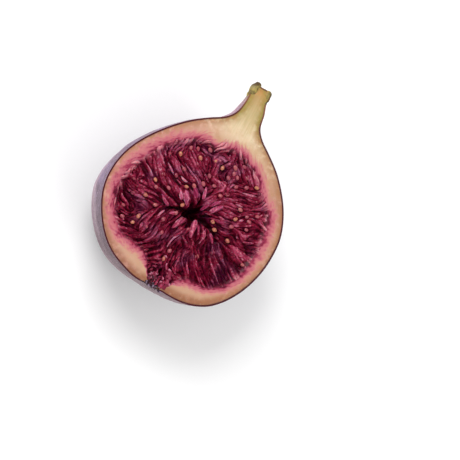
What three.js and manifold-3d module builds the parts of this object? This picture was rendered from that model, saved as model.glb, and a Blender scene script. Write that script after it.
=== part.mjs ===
// Half of a fresh fig, cut lengthwise through its stalk and its eye. It lies on its rounded back with
// the cut face up. One solid: skin, flesh, stalk, eye and pulp grew together, and the florets and
// seeds of the pulp are fused to the bed that they grow from.
//
// Millimetres. +Z points up, out of the cut face. +Y runs from the eye to the end of the stalk. The
// origin is on the surface that the fig lies on, under the middle of its outline.

import * as THREE from "three";
import { mergeVertices } from "three/addons/utils/BufferGeometryUtils.js";
import Module from "manifold-3d";

const wasm = await Module();
wasm.setup();

// ---------------------------------------------------------------- driving dimensions

const LENGTH = 61.4; // eye to the end of the stalk
const WIDTH = 50.4; // across the cut face at its widest
const SETTLED = 1.2; // how far the soft back is flattened where the fruit lies on it
const FULLER = 1.1; // how far the soft sides have sagged out, half way down the back
const NECK_DROP = 2.4; // how much deeper than half its width the neck is: it bends to the back
const FACE_HEIGHT = WIDTH / 2 - SETTLED; // height of the cut face: the whole fruit is round

// Where the neck bends, and where it straightens again, as shares of the length.
const NECK_START = [0.68, 0.84];
const NECK_END = [0.86, 0.95];

const BACK_SIDES = 36; // flats round the back of the half fruit, from one side to the other
const RIBS = 9; // low ribs round the back
const RIB_RELIEF = 0.004; // how far a rib stands up, as a share of the radius there
const RIM_DROP = 0.12; // edge of the pulp, below the cut face
const BED_DROP = 1.0; // floor that the florets grow from, below the cut face
const HOLLOW_DROP = 7.5; // floor of the empty middle, below the cut face
const FLORET_RISE = 1.3; // a floret at its thickest, above the floor
const WHORL = 0.014; // how far the florets bend to the side, in turns
const PULP_TURNS = 120; // steps once round the pulp, two to the narrowest floret
const PULP_STEPS = 22; // steps from the middle of the pulp to its rim

// The eye and the scar are dished by a ball that bites this deep, and this far round its middle.
const EYE_DISH = { depth: 0.9, radius: 1.5 };
const SCAR_DISH = { depth: 0.9, radius: 1.4 };

const SEEDS = 40;
const SEEDS_APART = 3.4; // least distance from one seed to the next
const SEED_LENGTH = 1.5;
const SEED_WIDTH = 1.25;
const SEED_SINK = 0.15; // middle of a seed, below the pulp around it

const COLOURS = {
  skin: 0x4a3550,
  stalk: 0x9a9450,
  flesh: 0xdcc093,
  pulp: 0x8a1b3c,
  hollow: 0x24040c,
  seed: 0xd08a55,
};

// ---------------------------------------------------------------- outline of the cut face

// Each side runs from the eye to the end of the stalk. A point is [out, along]: out from the middle
// line as a share of half the width, and along as a share of the length.
const LEFT_SIDE = [
  [-0.065, 0.006],
  [-0.231, 0.002],
  [-0.404, 0.018],
  [-0.564, 0.042],
  [-0.711, 0.083],
  [-0.856, 0.151],
  [-0.969, 0.24],
  [-1, 0.323],
  [-0.968, 0.418],
  [-0.878, 0.505],
  [-0.706, 0.607],
  [-0.511, 0.693],
  [-0.335, 0.751],
  [-0.188, 0.793],
  [-0.11, 0.835],
  [-0.081, 0.886],
  [-0.079, 0.934],
  [-0.092, 0.962],
  [-0.075, 0.986],
  [-0.045, 1],
];
const RIGHT_SIDE = [
  [0.035, 0.012],
  [0.179, 0.011],
  [0.336, 0.016],
  [0.502, 0.035],
  [0.644, 0.068],
  [0.779, 0.126],
  [0.898, 0.209],
  [0.977, 0.309],
  [1, 0.406],
  [0.977, 0.491],
  [0.858, 0.596],
  [0.627, 0.702],
  [0.427, 0.759],
  [0.29, 0.794],
  [0.211, 0.831],
  [0.179, 0.89],
  [0.14, 0.938],
  [0.15, 0.967],
  [0.128, 0.988],
  [0.088, 0.995],
];
const MID_LENGTH = 0.5; // the share of the length that lies over the origin
const EYE = [-0.015, 0.009]; // middle of the eye, the small opening at the wide end
const STALK_END = [0.03, 0.998]; // middle of the scar where the stalk came off the twig
const STALK_FROM = 0.93; // share of the length at which the pale stalk starts

// The rim of the pulp on the cut face, once round from the top. The narrow tongue at the bottom is
// the channel that leads out to the eye.
const PULP_RIM = [
  [0.08, 0.698],
  [-0.1, 0.67],
  [-0.232, 0.672],
  [-0.385, 0.644],
  [-0.545, 0.59],
  [-0.68, 0.515],
  [-0.79, 0.425],
  [-0.86, 0.33],
  [-0.835, 0.25],
  [-0.72, 0.18],
  [-0.58, 0.134],
  [-0.42, 0.122],
  [-0.28, 0.116],
  [-0.18, 0.076],
  [-0.08, 0.026],
  [0.02, 0.012],
  [0.1, 0.028],
  [0.19, 0.078],
  [0.31, 0.114],
  [0.47, 0.12],
  [0.66, 0.165],
  [0.79, 0.26],
  [0.828, 0.37],
  [0.808, 0.465],
  [0.728, 0.55],
  [0.585, 0.592],
  [0.45, 0.651],
  [0.277, 0.685],
];
const PULP_MIDDLE = [0.008, 0.369]; // the florets point to here

const flat = ([out, along]) =>
  new THREE.Vector3((out * WIDTH) / 2, (along - MID_LENGTH) * LENGTH, 0);
const leftSide = new THREE.CatmullRomCurve3(LEFT_SIDE.map(flat));
const rightSide = new THREE.CatmullRomCurve3(RIGHT_SIDE.map(flat));
const pulpRim = new THREE.CatmullRomCurve3(PULP_RIM.map(flat), true);
const pulpMiddle = flat(PULP_MIDDLE);

// ---------------------------------------------------------------- tools

// A geometry from a list of points and a list of triangles.
function geometryOf(points, triangles) {
  return new THREE.BufferGeometry().setFromPoints(points).setIndex(triangles);
}

// A closed three.js geometry as a solid.
function solidOf(geometry) {
  const bare = geometry.clone();
  bare.deleteAttribute("normal");
  bare.deleteAttribute("uv");
  const merged = mergeVertices(bare);
  return new wasm.Manifold(
    new wasm.Mesh({
      numProp: 3,
      vertProperties: merged.attributes.position.array,
      triVerts: new Uint32Array(merged.index.array),
    }),
  );
}

// A closed skin over rings of equal length, with a point at each end. The rings run clockwise for
// someone looking from the start to the end.
function ringedSolid(start, rings, end) {
  const sides = rings[0].length;
  const points = [...rings.flat(), start, end];
  const lastRing = points.length - 2 - sides;
  const triangles = [];
  for (let side = 0; side < sides; side++) {
    const next = (side + 1) % sides;
    triangles.push(points.length - 2, next, side);
    triangles.push(points.length - 1, lastRing + side, lastRing + next);
    for (let ring = 0; ring < lastRing; ring += sides) {
      triangles.push(ring + side, ring + next, ring + sides + next);
      triangles.push(ring + side, ring + sides + next, ring + sides + side);
    }
  }
  return solidOf(geometryOf(points, triangles));
}

// Random numbers from 0 to 1 that are the same on every run (mulberry32).
function seededRandom(seed) {
  let state = seed;
  return () => {
    state = (state + 0x6d2b79f5) | 0;
    let mixed = Math.imul(state ^ (state >>> 15), 1 | state);
    mixed = (mixed + Math.imul(mixed ^ (mixed >>> 7), 61 | mixed)) ^ mixed;
    return ((mixed ^ (mixed >>> 14)) >>> 0) / 4294967296;
  };
}

// ---------------------------------------------------------------- skin, flesh and stalk

// One ring of the half fruit, a D lying on its back: from the right side round the back to the left
// side. The straight stroke of the D is the cut face.
function sectionRing(share) {
  const left = leftSide.getPoint(share);
  const right = rightSide.getPoint(share);
  const middle = left.clone().lerp(right, 0.5);
  const reach = right.clone().sub(left).multiplyScalar(0.5);
  const radius = reach.length();
  const { smoothstep } = THREE.MathUtils;
  const sag = FULLER * smoothstep(radius, 1, 6);
  const along = middle.y / LENGTH + MID_LENGTH;
  const neck = smoothstep(along, ...NECK_START) - smoothstep(along, ...NECK_END);
  const deepening = 1 + (NECK_DROP * neck) / radius;
  const ring = [];
  for (let side = 0; side <= BACK_SIDES; side++) {
    const angle = (Math.PI * side) / BACK_SIDES;
    const rib = 1 + RIB_RELIEF * Math.sin(angle * RIBS * 2);
    const rise = rib + (sag * Math.sin(angle * 2) ** 2) / radius;
    const point = middle.clone().addScaledVector(reach, Math.cos(angle) * rise);
    const depth = radius * Math.sin(angle) * rise * deepening;
    point.z = Math.max(0, FACE_HEIGHT - depth);
    ring.push(point);
  }
  return ring;
}

function halfFruit() {
  const steps = (LEFT_SIDE.length - 1) * 2;
  const rings = [];
  for (let step = 0; step <= steps; step++) {
    rings.push(sectionRing(step / steps));
  }
  const first = rings[0][BACK_SIDES / 2].clone().lerp(rings[0][0], 0.5);
  const last = rings[steps][BACK_SIDES / 2].clone().lerp(rings[steps][0], 0.5);
  return ringedSolid(first, rings, last)
    .subtract(dish(flat(EYE), EYE_DISH, -1))
    .subtract(dish(flat(STALK_END), SCAR_DISH, 1));
}

// A ball that bites into the end of the fruit. Outward is 1 or -1 along Y, away from the fruit.
function dish(place, { depth, radius }, outward) {
  const ballRadius = (radius * radius + depth * depth) / (2 * depth);
  const ball = new THREE.SphereGeometry(ballRadius, 16, 12);
  ball.translate(place.x, place.y + outward * (ballRadius - depth), FACE_HEIGHT);
  return solidOf(ball);
}

// ---------------------------------------------------------------- pulp

// How far the rim of the pulp is from its middle, at every degree round it from +X.
const rimReach = [];
for (const point of pulpRim.getPoints(3600)) {
  const spoke = point.clone().sub(pulpMiddle);
  const degree = THREE.MathUtils.radToDeg(Math.atan2(spoke.y, spoke.x));
  rimReach[(Math.round(degree) + 360) % 360] = spoke.length();
}

// The point on the cut face at a turn (1 is once round) and a share of the way from the middle of
// the pulp to its rim.
function pulpPoint(turn, share) {
  const degree = (turn + 1) * 360;
  const before = Math.floor(degree);
  const reach = THREE.MathUtils.lerp(
    rimReach[before % 360],
    rimReach[(before + 1) % 360],
    degree - before,
  );
  const angle = THREE.MathUtils.degToRad(degree);
  const spoke = new THREE.Vector3(Math.cos(angle), Math.sin(angle), 0);
  return pulpMiddle.clone().addScaledVector(spoke, reach * share);
}

// The florets stand in rows round the middle, like thatch: each hangs from its root in the outer
// flesh or in the floor, and swells into a drop at its tip. Root and tip are shares of the way out
// to the rim. Every other row stands in the gaps of its neighbour, half a floret further round.
const FLORET_ROWS = [
  { count: 60, root: 1.02, tip: 0.7, shift: 0 },
  { count: 60, root: 0.8, tip: 0.46, shift: 0.5 },
  { count: 30, root: 0.56, tip: 0.26, shift: 0 },
  { count: 30, root: 0.36, tip: 0.1, shift: 0.5 },
];

// How far the florets stand above the floor. It is nothing in the grooves between them.
function floretHeight(turn, share) {
  const heights = FLORET_ROWS.map((row) => {
    const along = (row.root - share) / (row.root - row.tip);
    if (along < 0 || along > 1) {
      return 0;
    }
    const place = turn * row.count + row.shift;
    const across = 2 * Math.abs(place - Math.round(place));
    const whim = 0.85 + 0.3 * Math.abs(Math.sin(7 * Math.round(place)));
    const swell = Math.min(0.25 + along, 1, (1 - along) * 4) * whim;
    return FLORET_RISE * swell * (1 - across * across);
  });
  return Math.max(...heights);
}

// How far the pulp lies below the cut face. The empty middle is a ragged star.
function pulpDrop(turn, share) {
  const around = turn * Math.PI * 2;
  const edge = 0.2 + 0.06 * Math.cos(5 * around + 0.6) + 0.04 * Math.cos(3 * around + 2);
  const inHollow = 1 - THREE.MathUtils.smoothstep(share, edge * 0.2, edge);
  const floor = BED_DROP + (HOLLOW_DROP - BED_DROP) * inHollow;
  const fromRim = THREE.MathUtils.smoothstep(1 - share, 0, 0.12);
  return THREE.MathUtils.lerp(RIM_DROP, floor - floretHeight(turn, share), fromRim);
}

// A turn with the side-to-side bend of the florets in it.
function bentTurn(turn, share) {
  return turn + WHORL * Math.sin(9 * share + 6 * Math.PI * turn);
}

// A point of the pulp's surface.
function pulpSurface(turn, share) {
  return pulpPoint(bentTurn(turn, share), share).setZ(FACE_HEIGHT - pulpDrop(turn, share));
}

// A closed ring of points round the pulp's middle.
function pulpRing(pointAt) {
  return Array.from({ length: PULP_TURNS }, (_, place) => pointAt(place / PULP_TURNS));
}

// What rises above the cut face before the pulp is carved: a low pad, clear of the pulp's rim.
function pad() {
  const top = pulpMiddle.clone().setZ(FACE_HEIGHT + FLORET_RISE);
  const bottom = pulpMiddle.clone().setZ(FACE_HEIGHT - BED_DROP);
  const rings = [bottom.z, top.z].map((height) =>
    pulpRing((turn) => pulpPoint(turn, 0.95).setZ(height)),
  );
  return ringedSolid(bottom, rings, top);
}

// What is carved away over the pulp: everything above its surface, out to its rim.
function carving() {
  const top = pulpMiddle.clone().setZ(FACE_HEIGHT + FLORET_RISE * 2);
  const rings = [];
  for (let step = 1; step <= PULP_STEPS; step++) {
    rings.push(pulpRing((turn) => pulpSurface(turn, step / PULP_STEPS)));
  }
  rings.push(pulpRing((turn) => pulpSurface(turn, 1).setZ(top.z)));
  return ringedSolid(pulpSurface(0, 0), rings, top);
}

// Seeds lie among the florets, each half out of the pulp and pointing to the middle.
const seedPlaces = [];
const random = seededRandom(5);
while (seedPlaces.length < SEEDS) {
  const turn = random();
  const share = 0.3 + 0.58 * Math.sqrt(random());
  const place = pulpSurface(turn, share);
  if (seedPlaces.every((other) => other.distanceTo(place) > SEEDS_APART)) {
    seedPlaces.push(place);
  }
}

function seed(place) {
  const drop = new THREE.IcosahedronGeometry(0.5, 0);
  drop.scale(SEED_LENGTH, SEED_WIDTH, SEED_WIDTH);
  drop.rotateZ(Math.atan2(pulpMiddle.y - place.y, pulpMiddle.x - place.x));
  drop.translate(place.x, place.y, place.z - SEED_SINK);
  return solidOf(drop);
}

// ---------------------------------------------------------------- the whole half

// Joins the pieces, fills any hollow that the joining sealed and drops any loose scrap.
function fused(body, pieces) {
  const joined = pieces.reduce((whole, piece) => whole.add(piece), body);
  const parts = joined.decompose();
  return parts.reduce((most, part) => (part.volume() > most.volume() ? part : most));
}

const carved = halfFruit().add(pad()).subtract(carving());
const { vertProperties, triVerts } = fused(carved, seedPlaces.map(seed)).getMesh();
const geometry = new THREE.BufferGeometry()
  .setAttribute("position", new THREE.BufferAttribute(vertProperties, 3))
  .setIndex(new THREE.BufferAttribute(triVerts, 1))
  .toNonIndexed();
geometry.computeVertexNormals();

// ---------------------------------------------------------------- colours

// The colour of the fruit at a place on its surface, given which way the surface faces there.
function colourAt(place, facing) {
  if (seedPlaces.some((other) => other.distanceTo(place) < SEED_WIDTH * 0.62)) {
    return COLOURS.seed;
  }
  const spoke = place.clone().sub(pulpMiddle).setZ(0);
  const turn = Math.atan2(spoke.y, spoke.x) / (Math.PI * 2) + 1;
  const inPulp = spoke.length() < pulpPoint(turn, 0.995).distanceTo(pulpMiddle);
  if (inPulp && place.z > FACE_HEIGHT - HOLLOW_DROP * 1.01) {
    return place.z < FACE_HEIGHT - HOLLOW_DROP / 3 ? COLOURS.hollow : COLOURS.pulp;
  }
  if (place.y > stalkStart) {
    return COLOURS.stalk;
  }
  return facing.z > 0.9 ? COLOURS.flesh : COLOURS.skin;
}

const stalkStart = flat([0, STALK_FROM]).y;
const places = geometry.getAttribute("position");
const normals = geometry.getAttribute("normal");
const colours = new Float32Array(places.count * 3);
for (let first = 0; first < places.count; first += 3) {
  const middle = new THREE.Vector3();
  for (let corner = first; corner < first + 3; corner++) {
    middle.add(new THREE.Vector3().fromBufferAttribute(places, corner).divideScalar(3));
  }
  const facing = new THREE.Vector3().fromBufferAttribute(normals, first);
  const colour = new THREE.Color(colourAt(middle, facing));
  for (let corner = first; corner < first + 3; corner++) {
    colour.toArray(colours, corner * 3);
  }
}
geometry.setAttribute("color", new THREE.BufferAttribute(colours, 3));

const figHalf = new THREE.Mesh(
  geometry,
  new THREE.MeshStandardMaterial({ vertexColors: true, roughness: 0.55, metalness: 0 }),
);
figHalf.name = "fig_half";

const group = new THREE.Group();
group.add(figHalf);
export default group;
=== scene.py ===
import math
import random

import bpy
import numpy as np
from mathutils import Matrix, Vector, kdtree, noise


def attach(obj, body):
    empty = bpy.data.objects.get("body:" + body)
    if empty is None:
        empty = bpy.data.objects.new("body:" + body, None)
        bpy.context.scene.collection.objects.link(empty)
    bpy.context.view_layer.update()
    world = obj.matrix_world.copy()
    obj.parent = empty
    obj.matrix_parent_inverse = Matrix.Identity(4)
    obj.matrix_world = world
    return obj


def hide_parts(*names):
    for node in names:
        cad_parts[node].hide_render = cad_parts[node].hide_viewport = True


# Half of a fresh fig, cut lengthwise through its stalk and its eye. It lies on its rounded back
# with the cut face up. The frame is the CAD's: +Z out of the cut face, +Y from the eye to the
# stalk. Sizes below are in millimetres, and MM turns them into Blender's metres.

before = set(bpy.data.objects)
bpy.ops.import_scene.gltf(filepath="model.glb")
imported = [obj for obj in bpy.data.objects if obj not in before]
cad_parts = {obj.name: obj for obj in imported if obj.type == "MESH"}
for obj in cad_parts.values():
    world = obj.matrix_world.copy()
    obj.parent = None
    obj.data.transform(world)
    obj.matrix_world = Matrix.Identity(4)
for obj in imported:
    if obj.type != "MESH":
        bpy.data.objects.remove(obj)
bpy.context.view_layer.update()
MM = 0.001

# ---------------- the camera
# A long lens held high over the fig's left shoulder and turned, so that the stalk points up and to
# the right and a sliver of the peel shows along the left side.

SIGHT = Vector((-0.3557, -0.2103, 0.9107)).normalized()  # from the fig back to the camera
UPRIGHT = Vector((-0.509, 0.861, 0.0)).normalized()
SIDEWAYS = Vector((0.784, 0.4635, 0.4133)).normalized()
AIM = Vector((9.577, -7.597, 28.027))  # the point in the middle of the picture
CAMERA_DISTANCE = 655.2

lens = bpy.data.cameras.new("camera")
lens.lens = 200
lens.sensor_width = 36
camera = bpy.data.objects.new("camera", lens)
bpy.context.collection.objects.link(camera)
turned = Matrix((SIDEWAYS, UPRIGHT, SIGHT)).transposed().to_4x4()
camera.matrix_world = Matrix.Translation((AIM + SIGHT * CAMERA_DISTANCE) * MM) @ turned
bpy.context.scene.camera = camera

# ---------------- the table and the light
# A plain white table top under a bright, even studio: white all round, one large soft box up and to
# the left of the camera for the wet glints, and a weaker one across from it.


def linear(colour):
    """A colour written as #rrggbb, as the numbers that a shader takes."""
    parts = [int(colour[k : k + 2], 16) / 255 for k in (1, 3, 5)]
    return tuple(p / 12.92 if p < 0.04045 else ((p + 0.055) / 1.055) ** 2.4 for p in parts) + (1.0,)


def new_material(name, colour, roughness):
    """A new material and its Principled shader."""
    material = bpy.data.materials.new(name)
    material.use_nodes = True
    shader = material.node_tree.nodes["Principled BSDF"]
    shader.inputs["Base Color"].default_value = linear(colour)
    shader.inputs["Roughness"].default_value = roughness
    return material, shader


def set_on(shader, **values):
    """Sets numbers and colours on the shader's own sockets."""
    for name, value in values.items():
        shader.inputs[name.replace("_", " ")].default_value = value


def nothing_selected():
    """Leaves edit mode and takes the selection off every object."""
    if bpy.context.object and bpy.context.object.mode != "OBJECT":
        bpy.ops.object.mode_set(mode="OBJECT")
    bpy.ops.object.select_all(action="DESELECT")


TABLE_WIDTH = 4000
TABLE_GAP = 0.02  # it lies this far under the fruit, so that the two don't flicker
nothing_selected()
bpy.ops.mesh.primitive_plane_add(size=TABLE_WIDTH * MM, location=(0, 0, -TABLE_GAP * MM))
table = bpy.context.object
table.name = "table"
bpy.ops.object.transform_apply(location=True, rotation=False, scale=False)
table_white, shader = new_material("table_white", "#ffffff", 0.9)
set_on(shader, Specular_IOR_Level=0.1)
table.data.materials.append(table_white)

LIGHTS_REACH = 520
LIGHTS_AIM = 15  # they face this height over the table


def soft_box(name, side, across, power):
    """A square area light, so many millimetres across, that faces the fig from this direction."""
    lamp = bpy.data.lights.new(name, "AREA")
    lamp.size = across * MM
    lamp.energy = power
    box = bpy.data.objects.new(name, lamp)
    bpy.context.collection.objects.link(box)
    towards = Vector(side).normalized()
    box.location = Vector((0, 0, LIGHTS_AIM * MM)) + towards * LIGHTS_REACH * MM
    box.rotation_euler = towards.to_track_quat("Z", "Y").to_euler()


soft_box("soft_box_left", (-0.9, 0.55, 1.15), 260, 1.7)
soft_box("soft_box_right", (0.8, -0.5, 1.0), 320, 0.6)

# The room is white, but wet things mirror it dimly, so that their glints are the soft boxes' own.
world = bpy.data.worlds.new("studio")
world.use_nodes = True
room = world.node_tree
sky = room.nodes["Background"]
set_on(sky, Color=(1.0, 1.0, 1.0, 1.0))
mirrored = room.nodes.new("ShaderNodeMapRange")
set_on(mirrored, To_Min=0.66, To_Max=0.04)
ray = room.nodes.new("ShaderNodeLightPath")
room.links.new(ray.outputs["Is Glossy Ray"], mirrored.inputs["Value"])
room.links.new(mirrored.outputs["Result"], sky.inputs["Strength"])
bpy.context.scene.world = world
bpy.context.scene.view_settings.view_transform = "Standard"

# ---------------- the peel
# The thin, tough skin of the fruit: dark purple under a lilac bloom of wax, with faint ribs from
# eye to stalk. It is lofted as a whole fig, ring by ring, sliced at the height of the cut, and
# given its thickness, so that the slice shows as the dark line round the flesh.

HALF_WIDTH = 25.2
LENGTH = 61.4
EYE_END = -30.7  # where the length starts, along Y
CUT = 24.0  # height of the cut face
PEEL = 0.4  # thickness of the skin
FULLER = 1.1  # how far the soft sides have sagged out, half way down the back
SHOULDER = 0.6  # how much more they sag where the fruit narrows towards the neck, as a share
NECK_DROP = 2.4  # how much deeper than half its width the neck is: it bends to the back
RINGS = 84
RING_SIDES = 96
EDGE_STEPS = 400  # how finely the two edges of the cut face are read off

# Each side of the cut face runs from the eye to the end of the stalk. A point is out from the
# middle line, as a share of half the width, and along, as a share of the length.
LEFT_SIDE = [
    (-0.065, 0.006), (-0.231, 0.002), (-0.404, 0.018), (-0.564, 0.042), (-0.711, 0.083),
    (-0.856, 0.151), (-0.969, 0.240), (-1.000, 0.323), (-0.968, 0.418), (-0.878, 0.505),
    (-0.706, 0.607), (-0.511, 0.693), (-0.335, 0.751), (-0.188, 0.793), (-0.110, 0.835),
    (-0.081, 0.886), (-0.079, 0.934), (-0.090, 0.958), (-0.076, 0.976), (-0.045, 0.984),
]
RIGHT_SIDE = [
    (0.035, 0.012), (0.179, 0.011), (0.336, 0.016), (0.502, 0.035), (0.644, 0.068),
    (0.779, 0.126), (0.898, 0.209), (0.977, 0.309), (1.000, 0.406), (0.977, 0.491),
    (0.858, 0.596), (0.627, 0.702), (0.427, 0.759), (0.290, 0.794), (0.211, 0.831),
    (0.179, 0.890), (0.140, 0.938), (0.148, 0.962), (0.128, 0.980), (0.088, 0.988),
]


def smooth_way(points, shares, closed=False):
    """Places on the smooth line that runs through these points, at these shares of its way."""
    points = np.array(points, float)
    shares = np.asarray(shares, float)
    if closed:
        points = np.vstack([points[-1], points, points[0], points[1]])
    else:
        points = np.vstack([2 * points[0] - points[1], points, 2 * points[-1] - points[-2]])
    way = shares * (len(points) - 3)
    start = np.clip(way.astype(int), 0, len(points) - 4)
    t = (way - start)[:, None]
    before, a, b, after = (points[start + k] for k in range(4))
    gaps = [np.maximum(np.linalg.norm(q - p, axis=1), 1e-9)[:, None] ** 0.5
            for p, q in ((before, a), (a, b), (b, after))]
    lead = ((a - before) / gaps[0] - (b - before) / (gaps[0] + gaps[1])) * gaps[1] + (b - a)
    tail = ((after - b) / gaps[2] - (after - a) / (gaps[1] + gaps[2])) * gaps[1] + (b - a)
    return (a + lead * t + (3 * (b - a) - 2 * lead - tail) * t**2
            + (2 * (a - b) + lead + tail) * t**3)


def on_face(points):
    """Places given as shares, in millimetres on the cut face."""
    return np.array(points) * (HALF_WIDTH, LENGTH) + (0, EYE_END)


def both_sides(shares):
    """Left and right edge of the cut face at these shares of the way from eye to stalk."""
    return smooth_way(on_face(LEFT_SIDE), shares), smooth_way(on_face(RIGHT_SIDE), shares)


def sides_at(along):
    """Left and right edge of the cut face, across, at these shares of the fruit's length."""
    edges = both_sides(np.linspace(0, 1, EDGE_STEPS))
    y = EYE_END + LENGTH * np.asarray(along, float)
    return [np.interp(y, np.maximum.accumulate(edge[:, 1]), edge[:, 0]) for edge in edges]


def ease(value, start, end):
    """0 before start, 1 past end, and a smooth step between them."""
    t = np.clip((np.asarray(value, float) - start) / (end - start), 0, 1)
    return t * t * (3 - 2 * t)


def fuller(radius, spoke, along):
    """How far out a round section has sagged at a spoke, and how much deeper it is than round."""
    shoulder = 1 + SHOULDER * (ease(along, 0.40, 0.58) - ease(along, 0.66, 0.80))
    sag = FULLER * shoulder * ease(radius, 1, 6) * np.sin(2 * spoke) ** 2
    neck = ease(along, 0.68, 0.84) - ease(along, 0.86, 0.95)
    return radius + sag, 1 + NECK_DROP * neck / np.maximum(radius, 1.0)


def ring_facts(share):
    """Middle, radius and turn of one round section of the fig."""
    left, right = (side[0] for side in both_sides([share]))
    middle = (left + right) / 2
    reach = (right - left) / 2
    return Vector((*middle, CUT)) * MM, np.hypot(*reach) * MM, math.atan2(reach[1], reach[0])


def corners(obj):
    """The object's corners as an array, in millimetres."""
    flat = np.empty(len(obj.data.vertices) * 3)
    obj.data.vertices.foreach_get("co", flat)
    return flat.reshape(-1, 3) / MM


def put_corners(obj, places):
    """Moves the object's corners to these places, in millimetres."""
    obj.data.vertices.foreach_set("co", (np.asarray(places) * MM).ravel())
    obj.data.update()


def stored(obj, name, values):
    """Keeps a number or a vector a corner on the mesh, for its material to read."""
    values = np.asarray(values, float)
    kind = "FLOAT" if values.ndim == 1 else "FLOAT_VECTOR"
    slot = obj.data.attributes.new(name, kind, "POINT")
    slot.data.foreach_set("value" if values.ndim == 1 else "vector", values.ravel())


def use_only(obj):
    """Selects this object alone."""
    nothing_selected()
    obj.select_set(True)
    bpy.context.view_layer.objects.active = obj


def edit_all(obj):
    """Goes into edit mode on one object, with all of it selected."""
    use_only(obj)
    bpy.ops.object.mode_set(mode="EDIT")
    bpy.ops.mesh.select_all(action="SELECT")


def face_outwards(obj):
    """Turns all its faces outwards."""
    edit_all(obj)
    bpy.ops.mesh.normals_make_consistent(inside=False)
    bpy.ops.object.mode_set(mode="OBJECT")


def applied(obj, kind, **settings):
    """Puts a modifier with these settings on the object and applies it."""
    use_only(obj)
    modifier = obj.modifiers.new(kind.lower(), kind)
    for name, value in settings.items():
        setattr(modifier, name, value)
    bpy.ops.object.modifier_apply(modifier=modifier.name)


def lumps(places, size, finer_size, share):
    """Smooth lumps of one size, and on them finer ones with this share of their height."""
    return np.array([
        noise.noise(Vector(p) / size) + share * noise.noise(Vector(p) / finer_size) for p in places
    ])


def round_middle(places):
    """Each place's way along the fruit, the middle there, and its spoke and distance from it."""
    along = (places[:, 1] - EYE_END) / LENGTH
    middles = sum(sides_at(along)) / 2
    out, up = places[:, 0] - middles, places[:, 2] - CUT
    return along, middles, np.arctan2(up, out), np.hypot(out, up)


middle, radius, turn = ring_facts(0)
nothing_selected()
bpy.ops.mesh.primitive_circle_add(
    vertices=RING_SIDES,
    radius=radius,
    fill_type="TRIFAN",
    location=middle,
    rotation=(math.pi / 2, 0, turn),
)
peel = bpy.context.object
peel.name = "peel"
bpy.ops.object.mode_set(mode="EDIT")
bpy.ops.mesh.select_mode(type="EDGE")
bpy.ops.mesh.select_all(action="DESELECT")
bpy.ops.mesh.select_non_manifold()
for share in np.linspace(0, 1, RINGS)[1:]:
    there, wider, turned = ring_facts(share)
    bpy.ops.mesh.extrude_edges_move(TRANSFORM_OT_translate={"value": there - middle})
    bpy.ops.transform.resize(value=(wider / radius,) * 3, center_override=there)
    bpy.ops.transform.rotate(value=turn - turned, orient_axis="Z", center_override=there)
    middle, radius, turn = there, wider, turned
# The stalk end is drawn together in two steps, so that it stays flat and square.
END_STEP = 0.1
for shrink in (0.55, 0.0):
    bpy.ops.mesh.extrude_edges_move(TRANSFORM_OT_translate={"value": (0, END_STEP * MM, 0)})
    bpy.ops.transform.resize(value=(shrink,) * 3, center_override=middle)
bpy.ops.mesh.merge(type="CENTER")
bpy.ops.object.mode_set(mode="OBJECT")
bpy.ops.object.transform_apply(location=True, rotation=True, scale=True)

# The eye is a dimple, and the back is uneven: shallow dents, and ribs that follow the meridians.
EYE_DIMPLE = 0.9
DENT = 0.35
RIB = 0.11
RIBS = 23
applied(peel, "SUBSURF", levels=1, render_levels=1)
places = corners(peel)
along, middles, spoke, girth = round_middle(places)
ribs = np.cos(RIBS * spoke + 1.5 * np.sin(3 * spoke)) * ease(girth, 1.0, 9.0)
dents = lumps(places, 9.0, 4.0, 0.5)
below = ease(CUT - places[:, 2], 0.0, 7.0)
full, deeper = fuller(girth, spoke, along)
full = full + (RIB * ribs + DENT * dents) * below
places[:, 0] = middles + full * np.cos(spoke)
places[:, 2] = CUT + full * np.sin(spoke) * deeper
places[:, 1] += EYE_DIMPLE * (1 - ease(girth, 0.0, 1.3)) * (along < 0.1)
put_corners(peel, places)

# The slice, the flat that the soft back rests on, and the thickness.
SHARP = math.radians(50)
face_outwards(peel)
edit_all(peel)
bpy.ops.mesh.bisect(plane_co=(0, 0, CUT * MM), plane_no=(0, 0, 1), clear_outer=True)
bpy.ops.object.mode_set(mode="OBJECT")
places = corners(peel)
places[:, 2] = np.clip(places[:, 2], 0, CUT)
put_corners(peel, places)
applied(peel, "SOLIDIFY", thickness=PEEL * MM, offset=-1, use_even_offset=False)
places = corners(peel)
places[:, 2] = np.minimum(places[:, 2], CUT)
put_corners(peel, places)
bpy.ops.object.shade_smooth_by_angle(angle=SHARP)

# What the material needs to know: how far along the fruit a place is, and where it lies on a
# straightened peel, measured over the skin, so that streaks run from eye to stalk.
along, _, spoke, girth = round_middle(corners(peel))
steps = np.linspace(0, 1, EDGE_STEPS)
left, right = sides_at(steps)
over_skin = np.cumsum(np.hypot(np.gradient((right - left) / 2), LENGTH / EDGE_STEPS))
way = np.interp(along, steps, over_skin)
wide = 5 + 0.6 * girth
stored(peel, "along", np.clip(along, 0, 1))
stored(peel, "straightened", np.column_stack([wide * np.cos(spoke), way, wide * np.sin(spoke)]))


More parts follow.
